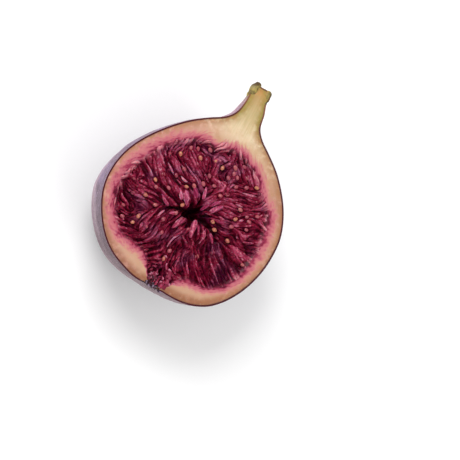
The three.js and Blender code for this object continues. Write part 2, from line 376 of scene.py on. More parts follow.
class Nodes:
    """A short hand for a material's nodes; here is the place on the piece, in millimetres."""

    def __init__(self, material):
        self.tree = material.node_tree
        self.here = self.stretched(self.add("TexCoord").outputs["Object"], (1 / MM,) * 3)

    def add(self, kind, settings=None, **inputs):
        """A node with its settings, its named inputs set, or linked where a socket is given."""
        node = self.tree.nodes.new("ShaderNode" + kind)
        for name, value in (settings or {}).items():
            setattr(node, name, value)
        for name, value in inputs.items():
            key = int(name[1:]) if name[0] == "i" and name[1:].isdigit() else name.replace("_", " ")
            self.feed(value, node.inputs[key])
        return node

    def feed(self, value, socket):
        """Links the socket, or sets it to a number or to a colour written as #rrggbb."""
        if isinstance(value, bpy.types.NodeSocket):
            self.tree.links.new(value, socket)
        elif isinstance(value, str):
            socket.default_value = linear(value)
        else:
            socket.default_value = value

    def attribute(self, name, output="Fac"):
        return self.add("Attribute", {"attribute_name": name}).outputs[output]

    def maths(self, operation, a, b=0.0):
        return self.add("Math", {"operation": operation}, i0=a, i1=b).outputs[0]

    def times(self, a, b):
        return self.maths("MULTIPLY", a, b)

    def plus(self, a, b):
        return self.maths("ADD", a, b)

    def minus(self, a, b):
        return self.maths("SUBTRACT", a, b)

    def mask(self, value, start, end):
        """0 at start, 1 at end, smooth between."""
        settings = {"interpolation_type": "SMOOTHSTEP"}
        return self.add("MapRange", settings, Value=value, From_Min=start, From_Max=end).outputs[0]

    def stretched(self, vector, scale):
        """The vector times a scale along each axis."""
        return self.add("VectorMath", {"operation": "MULTIPLY"}, i0=vector, i1=scale).outputs[0]

    def axis(self, name):
        return self.add("SeparateXYZ", None, Vector=self.here).outputs[name]

    def cloudy(self, vector, scale, detail=3.0, roughness=0.5):
        return self.add("TexNoise", None, Vector=vector, Scale=scale, Detail=detail,
                        Roughness=roughness).outputs["Fac"]

    def mix(self, share, under, over):
        return self.add("Mix", {"data_type": "RGBA"}, i0=share, i6=under, i7=over).outputs[2]

    def tint(self, colour, over, share, strength):
        """The colour with another over it, by a share that varies times a fixed strength."""
        return self.mix(self.times(share, strength), colour, over)

    def ramp(self, value, *stops):
        """Colours along a value: each stop is a place from 0 to 1 and a colour."""
        node = self.add("ValToRGB", None, Fac=value)
        ramp = node.color_ramp
        while len(ramp.elements) < len(stops):
            ramp.elements.new(0.5)
        for element, (place, colour) in zip(ramp.elements, stops):
            element.position = place
            element.color = linear(colour)
        return node.outputs["Color"]

    def relief(self, height, strength, distance):
        return self.add("Bump", None, Height=height, Strength=strength,
                        Distance=distance * MM).outputs["Normal"]


peel_skin, shader = new_material("peel_skin", "#3f2f47", 0.55)
n = Nodes(peel_skin)
along = n.attribute("along")
flat = n.attribute("straightened", "Vector")
height = n.axis("Z")
# The ground colour: dark purple, redder at the neck, then olive where it meets the stalk.
ground = n.ramp(along, (0.0, "#3c2a30"), (0.1, "#382634"), (0.3, "#331f38"), (0.72, "#452748"),
                (0.86, "#845470"), (0.93, "#8f7c58"), (0.972, "#6e6440"), (0.986, "#a08058"))
blotches = n.mask(n.cloudy(n.here, 0.5, 4.0, 0.65), 0.42, 0.62)
ground = n.tint(ground, "#2a1d30", blotches, 0.55)
# The bloom: a thin pale wax, in soft clouds and broken by fine streaks along the fruit.
clouds = n.mask(n.cloudy(n.here, 0.3, 6.0, 0.7), 0.30, 0.62)
# Towards the rim the bloom is filled in, so the band by the rim is paler: painted sheen where the
# light grazes the upper side.
clouds = n.maths("MAXIMUM", clouds, n.times(n.mask(height, 15.0, 22.0), 0.5))
streaks = n.cloudy(n.stretched(flat, (2.4, 0.6, 2.4)), 1.0, 5.0, 0.7)
bloom = n.times(clouds, n.mask(streaks, 0.30, 0.54))
bloom = n.times(bloom, n.mask(along, 0.935, 0.88))
# It is thinned lower down the back, so the band by the rim stays paler: painted sheen where the
# light grazes the upper side.
sheen_by_height = n.add("MapRange", None, Value=height, From_Min=3.0, From_Max=14.0, To_Min=0.3)
bloom = n.times(bloom, sheen_by_height.outputs[0])
wax = n.ramp(along, (0.02, "#624c58"), (0.14, "#7a687c"), (0.34, "#806c98"), (0.7, "#866c98"),
             (0.88, "#caa4b2"))
colour = n.tint(ground, wax, bloom, 0.85)
# A few long dark creases, fine dark flecks that run with the ribs, round spots and pale dots.
creases = n.mask(n.cloudy(n.stretched(flat, (1.1, 0.13, 1.1)), 1.0, 2.0, 0.4), 0.64, 0.69)
colour = n.tint(colour, "#1a0e1a", creases, 0.6)
flecks = n.mask(n.cloudy(n.stretched(flat, (2.9, 1.4, 2.9)), 1.0, 2.0, 0.5), 0.57, 0.66)
colour = n.tint(colour, "#22151f", flecks, 0.55)
spots = n.mask(n.cloudy(n.stretched(flat, (1.0, 1.3, 1.0)), 1.0, 1.0, 0.4), 0.66, 0.72)
colour = n.tint(colour, "#22151f", spots, 0.6)
dots = n.add("TexVoronoi", {"feature": "F1"}, Vector=flat, Scale=0.62).outputs["Distance"]
colour = n.tint(colour, "#b7a9bd", n.mask(dots, 0.13, 0.07), 0.5)
# The sliced edge is bare, dark and a little wet.
edge = n.mask(height, CUT - 0.12, CUT - 0.02)
bare = n.ramp(along, (0.0, "#4a061a"), (0.7, "#4e0a1c"), (0.83, "#5e2c26"), (0.92, "#8e5c3c"),
              (0.98, "#7c5230"))
colour = n.mix(edge, colour, bare)
n.feed(colour, shader.inputs["Base Color"])
n.feed(n.minus(0.68, n.times(edge, 0.25)), shader.inputs["Roughness"])
set_on(shader, Sheen_Weight=0.8, Sheen_Roughness=0.36, Sheen_Tint=linear("#eaced4"))
set_on(shader, Specular_IOR_Level=0.35)
grain = n.plus(n.cloudy(n.here, 2.2, 3.0), n.times(streaks, 1.4))
n.feed(n.relief(grain, 0.35, 0.22), shader.inputs["Normal"])
peel.data.materials.append(peel_skin)
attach(peel, "root")
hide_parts("fig_half")

# ---------------- the flesh
# The soft, pale inside of the fruit, with the bed of the pulp pressed into its cut face: a shallow
# floor, a torn hollow in the middle and a channel to the eye. It is two fine sheets, one for the
# cut face and one for the back, fitted between the edges of the slice and sewn up at the rim.

ACROSS = 168
ALONG = 196
FLESH_INSET = 0.36  # from the outer edge of the fruit to the edge of the flesh
RIM_SINK = 0.10  # the peel stands this proud of the flesh
BACK_GAP = 0.6  # between the back of the flesh and the peel under it
BACK_LOW = 0.8  # the lowest that the flesh reaches
BED_DEPTH = 1.05
HOLLOW_DEPTH = 7.5
HOLLOW = (0.7, -8.3)
HOLLOW_REACH = 3.3
PULP_MIDDLE = (0.2, -8.05)
PULP_RIM = [
    (0.080, 0.696), (-0.100, 0.664), (-0.232, 0.664), (-0.385, 0.634), (-0.545, 0.586),
    (-0.680, 0.515), (-0.790, 0.425), (-0.860, 0.330), (-0.835, 0.250), (-0.720, 0.180),
    (-0.580, 0.134), (-0.420, 0.122), (-0.280, 0.116), (-0.180, 0.076), (-0.080, 0.026),
    (0.020, 0.012), (0.100, 0.028), (0.190, 0.078), (0.310, 0.114), (0.470, 0.120),
    (0.660, 0.165), (0.790, 0.260), (0.828, 0.370), (0.808, 0.465), (0.728, 0.550),
    (0.585, 0.592), (0.450, 0.651), (0.277, 0.685),
]
# Cracks that run out from the hollow between the florets: places, then half width and depth.
CRACKS = [
    ([(0.2, -8.1), (-3.8, -9.0), (-6.8, -10.5)], 0.6, 2.8),
    ([(0.2, -8.1), (4.6, -8.4), (7.5, -9.4), (9.7, -11.4)], 0.8, 3.4),
    ([(0.2, -8.1), (0.5, -5.8), (0.5, -3.7), (0.1, -1.9)], 0.7, 3.2),
    ([(0.2, -8.1), (2.8, -7.4), (5.3, -6.2)], 0.65, 3.0),
    ([(0.1, -9.0), (0.7, -11.1), (0.5, -13.0), (0.4, -15.1)], 0.6, 2.6),
    ([(1.8, -8.6), (3.3, -10.1), (5.0, -11.2)], 0.65, 2.8),
    ([(-0.1, -26.4), (0.0, -24.9)], 0.75, 3.0),
    ([(-0.4, -30.2), (-0.9, -28.4), (-0.3, -26.6)], 0.9, 0.6),
]


def seen_from(middle, places):
    """Turn and distance of each place, seen from a middle on the cut face."""
    off = np.asarray(places, float)[:, :2] - middle
    return np.arctan2(off[:, 1], off[:, 0]), np.hypot(*off.T)


rim_line = smooth_way(on_face(PULP_RIM), np.linspace(0, 1, 721), closed=True)
rim_turn, rim_reach = seen_from(PULP_MIDDLE, rim_line)
in_turn = np.argsort(rim_turn)
rim_turn, rim_reach = rim_turn[in_turn], rim_reach[in_turn]


def inside_rim(places):
    """How far inside the rim of the pulp a place is, in millimetres; outside it is negative."""
    turn, reach = seen_from(PULP_MIDDLE, places)
    return np.interp(turn, rim_turn, rim_reach, period=2 * math.pi) - reach


def from_line(places, line):
    """Distance from each place to a line through a few points, and the share of its way there."""
    places = np.asarray(places, float)[:, :2]
    nearest = np.full(len(places), 1e9)
    shares = np.zeros(len(places))
    for k, (a, b) in enumerate(zip(np.array(line[:-1]), np.array(line[1:]))):
        span = b - a
        t = np.clip((places - a) @ span / (span @ span), 0, 1)
        gap = np.hypot(*(places - a - t[:, None] * span).T)
        closer = gap < nearest
        nearest = np.where(closer, gap, nearest)
        shares = np.where(closer, (k + t) / (len(line) - 1), shares)
    return nearest, shares


def hollow_drop(places):
    """Depth of the hollow and its cracks, below the floor of the pulp."""
    turn, out = seen_from(HOLLOW, places)
    edge = HOLLOW_REACH * (1 + 0.18 * np.cos(5 * turn + 0.6) + 0.1 * np.cos(3 * turn + 2))
    drop = (HOLLOW_DEPTH - BED_DEPTH) * (1 - ease(out / edge, 0.25, 1.0))
    for line, half_width, depth in CRACKS:
        gap, share = from_line(places, line)
        narrow = half_width * (1.15 - 0.75 * share)
        drop = np.maximum(drop, depth * (1 - 0.5 * share) * (1 - ease(gap / narrow, 0.2, 1.2)))
    return drop


def bed_drop(places):
    """How far the bed of the pulp lies below the cut face."""
    inward = inside_rim(places)
    floor = BED_DEPTH * ease(inward, -0.1, 1.9)
    return floor + hollow_drop(places) * ease(inward, 0.0, 1.0)


def patches(places, size, layer):
    """Soft random patches over the cut face, this broad; each layer has its own."""
    return np.array([noise.noise(Vector((x / size, y / size, layer))) for x, y in places])


def distance_to(points, places):
    """How far each place is from the nearest of these points, across the cut face."""
    tree = kdtree.KDTree(len(points))
    for k, point in enumerate(points):
        tree.insert((*point, 0), k)
    tree.balance()
    return [tree.find((x, y, 0))[2] for x, y in places]


nothing_selected()
bpy.ops.mesh.primitive_grid_add(x_subdivisions=ACROSS, y_subdivisions=ALONG, size=2)
flesh = bpy.context.object
flesh.name = "flesh"
use_only(flesh)
bpy.ops.object.duplicate()
back_sheet = bpy.context.object
square = corners(flesh) * MM
across, share = square[:, 0], (square[:, 1] + 1) / 2
# The last row at each end is folded down, which closes the ends of the back.
first_rows = 1 / ALONG
along_face = np.clip((share - first_rows) / (1 - 2 * first_rows), 0, 1)
left, right = both_sides(along_face)
middle, reach = (left + right) / 2, (right - left) / 2
size = np.hypot(*reach.T)
fit = (size - FLESH_INSET) / size
face = middle + reach * (across * fit)[:, None]
shrunk = 1 - 2 * FLESH_INSET / LENGTH
face[:, 1] *= shrunk
edge_gap = (1 - np.abs(across)) * size
end_gap = np.minimum(along_face, 1 - along_face) * LENGTH
sink = RIM_SINK * (1 - ease(np.minimum(edge_gap, end_gap), 0.0, 0.9))
sink += 0.05 * (0.5 + patches(face, 7.0, 3.0 / 7.0))
top = np.column_stack([face, CUT - sink - bed_drop(face)])
end_row = np.abs(share - 0.5) > 0.5 - 1e-6
rim_row = (np.abs(across) > 1 - 1e-6) | end_row
top[rim_row, 2] = CUT - RIM_SINK
put_corners(flesh, top)

arc = across * math.pi / 2
full, deeper = fuller(size, arc, (middle[:, 1] - EYE_END) / LENGTH)
inner = full - FLESH_INSET - BACK_GAP * np.cos(arc)
hang = inner * np.cos(arc) * deeper
hang[end_row] = 0
under = middle + reach * (np.sin(arc) * inner / size)[:, None]
under[:, 1] *= shrunk
back = np.column_stack([under, np.maximum(CUT - hang, BACK_LOW)])
back[rim_row] = top[rim_row]
put_corners(back_sheet, back)
nothing_selected()
back_sheet.select_set(True)
flesh.select_set(True)
bpy.context.view_layer.objects.active = flesh
bpy.ops.object.join()
edit_all(flesh)
bpy.ops.mesh.remove_doubles(threshold=0.001 * MM)
face_outwards(flesh)
bpy.ops.object.shade_smooth()


def beside_eye(places):
    """1 on either side of the eye, falling to 0 round the rest of the pulp."""
    turn, _ = seen_from(PULP_MIDDLE, places)
    return np.exp(-(((np.abs(turn + math.pi / 2) - 0.75) / 0.4) ** 2))


# For the material: how far inside the pulp a place is, how deep it lies, and how far the red of the
# pulp has soaked out into the flesh. It soaks widest on the left side, and least beside the eye.
places = corners(flesh)
inward = inside_rim(places) + 0.5 * beside_eye(places)
turn, _ = seen_from(PULP_MIDDLE, places)
left_turn, up_turn = np.maximum(-np.cos(turn - 0.1), 0), np.maximum(np.sin(turn), 0)
soak = 2.2 + 2.2 * left_turn**3 - 0.3 * up_turn**2 - 0.9 * beside_eye(places)
soak += (0.38 - soak) * ease(-places[:, 1], 25.6, 27.4)
stored(flesh, "inward", inward / soak + 0.22 * lumps(places, 2.6, 1.1, 0.5))
stored(flesh, "drop", CUT - places[:, 2])
stored(flesh, "along", np.clip((places[:, 1] - EYE_END) / LENGTH, 0, 1))
edges = np.vstack(both_sides(np.linspace(0, 1, EDGE_STEPS)))
stored(flesh, "to_edge", distance_to(edges, places[:, :2]))

fig_flesh, shader = new_material("fig_flesh", "#dfc39a", 0.42)
n = Nodes(fig_flesh)
along = n.attribute("along")
to_edge = n.attribute("to_edge")
# Cream, with ochre and pale clouds; pinker and browner on the left; greener up the neck.
cream = n.ramp(along, (0.02, "#a26c52"), (0.14, "#b88268"), (0.3, "#cb9a86"), (0.6, "#ba8874"),
               (0.7, "#c8a284"), (0.78, "#e6cfb0"))
ochre = n.mask(n.cloudy(n.here, 0.3, 4.0, 0.6), 0.42, 0.66)
cream = n.tint(cream, "#b98c62", ochre, 0.5)
pale = n.mask(n.cloudy(n.here, 0.5, 4.0, 0.6), 0.48, 0.72)
cream = n.tint(cream, "#ecd6c2", pale, 0.26)
left_side = n.mask(n.axis("X"), 0.0, -12.0)
cream = n.tint(cream, "#d09a92", left_side, 0.45)
midway = n.times(n.mask(to_edge, 1.2, 3.0), 0.75)
cream = n.mix(n.times(midway, n.mask(along, 0.4, 0.12)), cream, "#caa286")
neck = n.mask(along, 0.70, 0.84)
core = n.ramp(along, (0.76, "#dfcaa6"), (0.86, "#c6b084"), (0.93, "#bda072"), (0.96, "#c2965e"),
              (0.99, "#a06a34"))
fibres = n.mask(n.cloudy(n.stretched(n.here, (1.6, 0.12, 1.0)), 1.0, 3.0, 0.6), 0.4, 0.65)
core = n.tint(core, "#a8924e", fibres, 0.3)
cream = n.mix(neck, cream, n.mix(n.mask(to_edge, 1.9, 0.5), core, "#a3904e"))
by_skin = n.ramp(along, (0.0, "#905e40"), (0.2, "#a66c4c"), (0.78, "#a8744e"), (0.87, "#9c8644"),
                 (0.97, "#ac8a4c"))
band = n.times(n.mask(to_edge, 3.2, 0.4), n.mask(n.cloudy(n.here, 0.7, 3.0), 0.3, 0.55))
cream = n.tint(cream, by_skin, band, 0.8)
# The red that has soaked into the flesh, then the pulp's own bed.
inward = n.plus(n.attribute("inward"), n.times(n.attribute("crease"), 0.55))
mottle = n.minus(n.cloudy(n.here, 1.0, 4.0, 0.6), 0.5)
inward = n.plus(inward, n.times(mottle, 0.7))
pink = n.ramp(n.add("MapRange", None, Value=inward, From_Min=-1.2, From_Max=0.8).outputs[0],
              (0.0, "#c88f7e"), (0.25, "#c67a7c"), (0.45, "#bd6472"), (0.62, "#9c3250"),
              (0.8, "#5e0c26"), (1.0, "#440416"))
off_skin = n.mask(n.plus(to_edge, n.times(mottle, 4.0)), 0.4, 2.4)
soaked = n.times(n.mask(inward, -1.35, -0.6), off_skin)
colour = n.mix(soaked, cream, pink)
# Deeper than the bed of the pulp, in the hollow and its cracks, the flesh is painted near black:
# painted shade.
colour = n.mix(n.mask(n.attribute("drop"), 1.3, 4.5), colour, "#140205")
n.feed(colour, shader.inputs["Base Color"])
set_on(shader, Subsurface_Weight=0.35, Subsurface_Radius=(1.0, 0.35, 0.2))
set_on(shader, Subsurface_Scale=1.3 * MM, Specular_IOR_Level=0.25)
grain = n.cloudy(n.here, 1.6, 4.0, 0.6)
n.feed(n.relief(grain, 0.25, 0.2), shader.inputs["Normal"])
flesh.data.materials.append(fig_flesh)
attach(flesh, "root")
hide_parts("fig_half")

# ---------------- the pulp: its sheet and its florets
# The pulp is hundreds of tiny flowers, juicy crimson threads that grow in from the flesh towards
# the hollow. Cut through, they lie in combed, curling locks, wet and half clear. The lower ones
# are one folded sheet; of the upper ones one is modelled, and each copy bent along its own line.

# The lie of the locks: lines that the most visible florets follow, which also comb all the others.
PALE_LOCKS = [
    ((-17.8, -3.7), (-15.1, -5.1), (-14.0, -5.9)),
    ((-15.9, 1.1), (-14.4, -0.4), (-13.0, -1.7)),
    ((-20.1, -12.2), (-18.9, -14.4), (-17.3, -14.9), (-15.9, -15.6)),
    ((-11.3, -7.2), (-9.0, -7.9), (-7.4, -8.4)),
    ((-10.3, -22.9), (-8.5, -22.1), (-7.3, -20.5), (-6.3, -18.4), (-6.3, -16.7), (-6.2, -14.8)),
    ((-10.2, -16.6), (-9.8, -15.2), (-9.1, -13.6)),
    ((-8.0, -14.4), (-7.5, -12.6), (-6.9, -11.4)),
    ((-10.6, -19.2), (-10.6, -17.1)),
    ((-12.6, 1.5), (-10.6, 0.9), (-8.9, -0.4)),
    ((-12.4, -0.4), (-10.8, -1.5), (-9.3, -2.4)),
    ((-14.7, -0.3), (-13.6, -1.1), (-12.5, -2.0)),
    ((-8.2, 1.8), (-5.6, 0.7), (-3.1, -0.2), (-1.5, -1.3)),
    ((-2.7, 8.5), (-2.4, 9.6), (-1.1, 10.7), (-0.9, 12.0), (-1.0, 12.8)),
    ((-2.9, 9.9), (-2.2, 10.9), (-1.4, 12.3)),
    ((-4.0, 6.2), (-3.3, 5.1)),
    ((-7.5, -1.6), (-6.3, -2.1), (-5.0, -2.0)),
    ((9.1, 10.2), (10.4, 8.6), (11.7, 7.5)),
    ((1.7, 2.7), (3.2, 2.4)),
    ((6.0, -0.1), (7.1, 0.2), (8.9, 1.0), (9.8, 1.2)),
    ((9.5, 3.5), (11.2, 3.9), (12.8, 4.5), (13.7, 4.8)),
    ((9.2, -0.0), (10.7, 0.3), (12.0, 0.8)),
    ((12.2, -3.4), (13.5, -2.3)),
    ((4.8, -9.8), (5.8, -11.0), (5.9, -12.2), (5.7, -14.1)),
    ((0.7, -12.2), (-0.2, -14.6), (-1.3, -16.4), (-1.6, -18.1), (-1.5, -20.0)),
    ((-1.8, -10.7), (-2.5, -12.3), (-2.4, -14.1)),
    ((2.1, -24.5), (3.9, -25.2), (5.1, -25.1)),
    ((5.1, -19.7), (5.9, -21.1), (7.5, -22.5)),
]
LOCKS = [
    ((-16.5, 0.0), (-14.8, -1.3)),
    ((-15.7, -1.9), (-14.2, -3.3), (-13.1, -4.7)),
    ((-15.2, -6.6), (-14.2, -7.7), (-13.1, -8.6)),
    ((-21.8, -10.5), (-20.3, -9.3), (-19.3, -9.3)),
    ((-19.5, -9.5), (-17.8, -10.2), (-16.4, -10.0), (-14.0, -9.7)),
    ((-21.2, -6.1), (-20.0, -5.0), (-18.7, -4.5)),
    ((-19.7, -8.1), (-20.1, -6.3), (-18.9, -6.2), (-17.8, -7.6)),
    ((-16.5, -7.6), (-17.4, -8.2), (-17.0, -9.4), (-15.6, -9.2)),
    ((-20.3, -15.2), (-20.0, -16.8), (-19.7, -17.8)),
    ((-16.0, -10.0), (-14.2, -9.8), (-12.3, -9.3), (-10.0, -9.4)),
    ((-19.0, -15.7), (-17.3, -16.4)),
    ((-17.5, -17.7), (-16.2, -17.8), (-14.8, -17.6)),
    ((-16.6, -19.3), (-15.1, -19.2)),
    ((-16.2, -21.1), (-14.9, -21.2), (-13.0, -20.6), (-10.8, -19.9)),
    ((-13.3, -23.2), (-11.8, -22.6), (-10.5, -22.7)),
    ((-15.3, -13.4), (-13.1, -12.8), (-11.7, -13.1)),
    ((-18.7, -12.0), (-17.5, -12.4)),
    ((-15.6, -14.5), (-14.7, -15.5)),
    ((-14.5, -16.8), (-13.6, -15.7)),
    ((-4.7, -16.7), (-4.5, -14.4), (-4.0, -13.0)),
    ((-10.8, -3.6), (-9.3, -4.5), (-7.8, -5.4)),
    ((-9.6, 8.5), (-10.0, 7.0), (-10.2, 5.7)),
    ((-12.0, 7.0), (-11.9, 5.3), (-12.6, 3.7), (-12.6, 1.5)),
    ((-13.3, 5.9), (-13.3, 4.4)),
    ((-8.4, 7.1), (-7.8, 6.0), (-6.8, 5.4)),
    ((-7.0, 8.5), (-6.1, 9.7), (-4.9, 10.5)),
    ((-6.1, 7.6), (-4.6, 7.3), (-3.5, 7.1)),
    ((0.9, 4.6), (0.9, 3.4)),
    ((0.1, 9.3), (1.7, 9.3), (1.7, 10.5)),
    ((2.1, 11.4), (2.8, 10.3), (2.6, 9.0), (2.1, 8.1)),
    ((2.8, 13.0), (4.0, 11.6), (5.1, 10.2), (6.1, 9.6)),
    ((3.0, 11.0), (4.0, 9.8)),
    ((5.6, 11.7), (6.7, 10.3)),
    ((4.9, 1.0), (4.8, 2.4)),
    ((11.1, 2.9), (12.7, 3.0), (14.5, 3.4)),
    ((14.6, 5.3), (14.7, 4.2), (14.6, 3.2)),
    ((16.0, 4.7), (15.6, 3.2), (14.6, 2.0)),
    ((13.8, 1.2), (15.4, 1.9), (16.5, 2.8)),
    ((14.3, 0.3), (15.7, 0.8), (16.8, 1.8)),
    ((8.6, -1.3), (9.9, -1.1)),
    ((6.3, -6.2), (7.3, -6.3), (8.3, -6.3)),
    ((8.7, -6.9), (10.4, -6.5), (11.6, -6.4)),
    ((8.7, -8.1), (10.3, -8.1), (11.9, -7.4)),
    ((8.7, -10.2), (10.0, -10.3)),
    ((15.3, -5.4), (16.7, -4.9), (17.9, -3.6)),
    ((13.5, -6.8), (14.7, -7.6)),
    ((16.4, 0.1), (17.9, -0.2), (19.2, -0.7)),
    ((2.2, -1.5), (3.0, -0.1), (4.0, 1.1)),
    ((7.1, -10.3), (8.1, -10.9), (8.5, -12.1)),
    ((1.3, -14.9), (3.1, -16.2)),
    ((3.7, -14.0), (4.6, -15.6)),
    ((-8.5, -23.3), (-6.9, -21.8), (-5.8, -20.8)),
    ((-6.9, -23.3), (-5.6, -22.2)),
    ((-5.6, -23.4), (-4.3, -22.3), (-3.5, -21.5)),
    ((-5.1, -24.8), (-3.9, -24.1)),
    ((-3.2, -24.6), (-1.9, -24.2)),
    ((-2.8, -27.0), (-2.2, -25.8)),
    ((-1.1, -27.2), (-0.9, -25.9), (-1.0, -25.1)),
    ((2.4, -26.6), (2.0, -25.4)),
    ((2.3, -19.9), (1.9, -18.7)),
    ((3.6, -18.3), (4.1, -16.8)),
    ((4.7, -21.2), (6.2, -22.1), (7.6, -23.3)),
    ((3.5, -20.7), (4.0, -22.2)),
    ((5.5, -16.0), (7.3, -18.5), (9.4, -20.3)),
    ((7.9, -14.5), (8.8, -17.0), (10.8, -19.4), (13.5, -21.1)),
    ((9.0, -12.4), (10.5, -14.5), (12.2, -15.6)),
    ((1.4, -19.9), (1.3, -22.0)),
]
# Seeds that show: gold ones in the open, and rosy ones under a thin skin.
GOLD_SEEDS = [
    (-13.2, -6.2), (-4.9, -3.3), (-13.6, -10.9), (-5.3, 5.1), (-10.6, 3.1), (-1.1, 6.8),
    (1.3, 6.1), (6.0, -7.3), (7.5, -8.8), (12.1, -9.4), (-3.5, -7.9), (-12.5, -16.5),
    (-1.0, -22.4), (12.2, 6.6), (11.2, -3.4), (-13.1, -18.7),
]
ROSY_SEEDS = [
    (-12.0, -7.6), (-12.0, -3.8), (-16.7, -12.2), (-9.9, -11.7), (-9.3, -17.6), (4.5, 8.0),
    (6.5, 9.5), (-0.8, 2.4), (-7.7, 0.3), (-3.1, -2.0), (-1.2, -0.2), (1.7, 0.9),
    (4.5, -0.4), (6.3, 6.1), (9.8, 5.2), (-3.9, -10.5), (-1.9, -11.1), (-17.5, -16.2),
    (13.8, -1.2), (15.3, -4.2), (7.2, 3.9), (15.0, -2.0), (-7.0, 6.8), (-3.9, 8.3),
    (-9.0, -6.1), (4.1, 4.7), (5.0, 6.5), (-0.6, -19.8), (-6.2, -13.7), (11.2, -5.7),
    (11.2, -0.6), (-16.3, -18.8),
]
SEEDS = GOLD_SEEDS + ROSY_SEEDS

# The comb: at every node of a square mesh over the pulp, the way that the florets lie there. An
# angle is doubled while it is averaged, since a thread has no front and back.
COMB_STEP = 0.25
COMB_START = (-23.0, -31.5)
COMB_END = (23.0, 15.0)
INWARD_PULL = 0.004  # how weakly the hollow draws a thread that lies far from any lock
comb_x, comb_y = (np.arange(a, b, COMB_STEP) for a, b in zip(COMB_START, COMB_END))
nodes = np.array([(x, y) for x in comb_x for y in comb_y])
towards = 2 * seen_from(HOLLOW, nodes)[0]
comb_cos, comb_sin = INWARD_PULL * np.cos(towards), INWARD_PULL * np.sin(towards)
for lock in PALE_LOCKS + LOCKS:
    for a, b in zip(np.array(lock[:-1]), np.array(lock[1:])):
        pieces = max(1, round(math.dist(a, b)))
        doubled = 2 * math.atan2(b[1] - a[1], b[0] - a[0])
        for k in range(pieces):
            place = a + (b - a) * (k + 0.5) / pieces
            weight = 1 / (((nodes - place) ** 2).sum(axis=1) + 0.5) ** 2.2
            comb_cos += weight * math.cos(doubled)
            comb_sin += weight * math.sin(doubled)
comb_turn = 0.5 * np.arctan2(comb_sin, comb_cos)
comb_turn += 0.35 * patches(nodes, 1.7, 5.0)
comb_turn = comb_turn.reshape(len(comb_x), len(comb_y))
ragged = 0.5 + 0.55 * patches(nodes, 1.3, 9.0)
ragged += 0.5 * ease(nodes[:, 1], 0, 10)
comb_open = ((inside_rim(nodes) > ragged) & (hollow_drop(nodes) < 0.9)).reshape(comb_turn.shape)


def comb_node(place):
    """The nearest node of the comb."""
    return tuple(round((place[k] - COMB_START[k]) / COMB_STEP) for k in (0, 1))


class Taken:
    """Which places already have a floret, kept in square cells."""

    def __init__(self, cell):
        self.cell = cell
        self.cells = {}

    def key(self, place):
        return int(place[0] // self.cell), int(place[1] // self.cell)

    def add(self, places):
        for place in places:
            self.cells.setdefault(self.key(place), []).append(tuple(place))

    def near(self, place, gap):
        """Whether one of them is closer to this place than the gap."""
        column, row = self.key(place)
        return any(
            (place[0] - other[0]) ** 2 + (place[1] - other[1]) ** 2 < gap * gap
            for i in (column - 1, column, column + 1)
            for j in (row - 1, row, row + 1)
            for other in self.cells.get((i, j), ())
        )


STRIDE = 0.3  # from one place on a combed line to the next
LINE_PLACES = 14  # how many places a listed line is read off at


def comb_line(start, reach, taken, gap):
    """A line from this start both ways along the comb, until it meets another or the rim."""
    halves = []
    for sense in (0, math.pi):
        place, half = start, []
        turn = comb_turn[comb_node(start)] + sense
        for _ in range(int(reach / 2 / STRIDE)):
            ahead = comb_turn[comb_node(place)]
            turn = ahead if math.cos(ahead - turn) > 0 else ahead + math.pi
            place = (place[0] + STRIDE * math.cos(turn), place[1] + STRIDE * math.sin(turn))
            if not comb_open[comb_node(place)] or taken.near(place, gap):
                break
            half.append(place)
        halves.append(half)
    return np.array(halves[1][::-1] + [start] + halves[0])


# The one floret, a unit long: a six-sided thread, thin where it grows out of the flesh, swelling to
# its middle and drawn to a fine end, extruded along X from a small ring.
FLORET_RINGS = (
    (0.00, 0.12), (0.10, 0.42), (0.24, 0.70), (0.40, 0.92), (0.55, 1.00), (0.70, 0.92),
    (0.83, 0.66), (0.93, 0.38), (1.00, 0.10),
)


def drawn_out(rings, sides):
    """A thread along X, extruded from a small ring of so many sides through these rings."""
    nothing_selected()
    bpy.ops.mesh.primitive_circle_add(
        vertices=sides, radius=0.5 * rings[0][1], fill_type="NGON", rotation=(0, math.pi / 2, 0)
    )
    thread = bpy.context.object
    bpy.ops.object.mode_set(mode="EDIT")
    for (start, thick), (end, thicker) in zip(rings[:-1], rings[1:]):
        bpy.ops.mesh.extrude_region_move(TRANSFORM_OT_translate={"value": (end - start, 0, 0)})
        growth = thicker / thick
        bpy.ops.transform.resize(value=(1, growth, growth), center_override=(end, 0, 0))
    bpy.ops.object.mode_set(mode="OBJECT")
    bpy.ops.object.transform_apply(location=True, rotation=True, scale=True)
    face_outwards(thread)
    bpy.ops.object.shade_smooth()
    return thread


def laid_along(template, line, level, width, height, tone):
    """The corners of a copy laid along a line, at a level worked out from place and way along."""
    unit = np.array([v.co for v in template.data.vertices])
    rings = np.array(sorted(set(np.round(unit[:, 0], 4))))
    ring = np.searchsorted(rings, np.round(unit[:, 0], 4))
    steps = np.hypot(*np.diff(line, axis=0).T)
    way = np.concatenate([[0], np.cumsum(steps)]) / steps.sum()
    spots = np.column_stack([np.interp(rings, way, line[:, k]) for k in (0, 1)])
    ahead = np.gradient(spots, axis=0)
    ahead /= np.linalg.norm(ahead, axis=1)[:, None]
    side = np.column_stack([-ahead[:, 1], ahead[:, 0]])
    heights = level(spots, rings)
    places = np.empty_like(unit)
    places[:, :2] = spots[ring] + side[ring] * (unit[:, 1] * width)[:, None]
    places[:, 2] = heights[ring] + unit[:, 2] * height
    return places, tone, unit[:, 0]


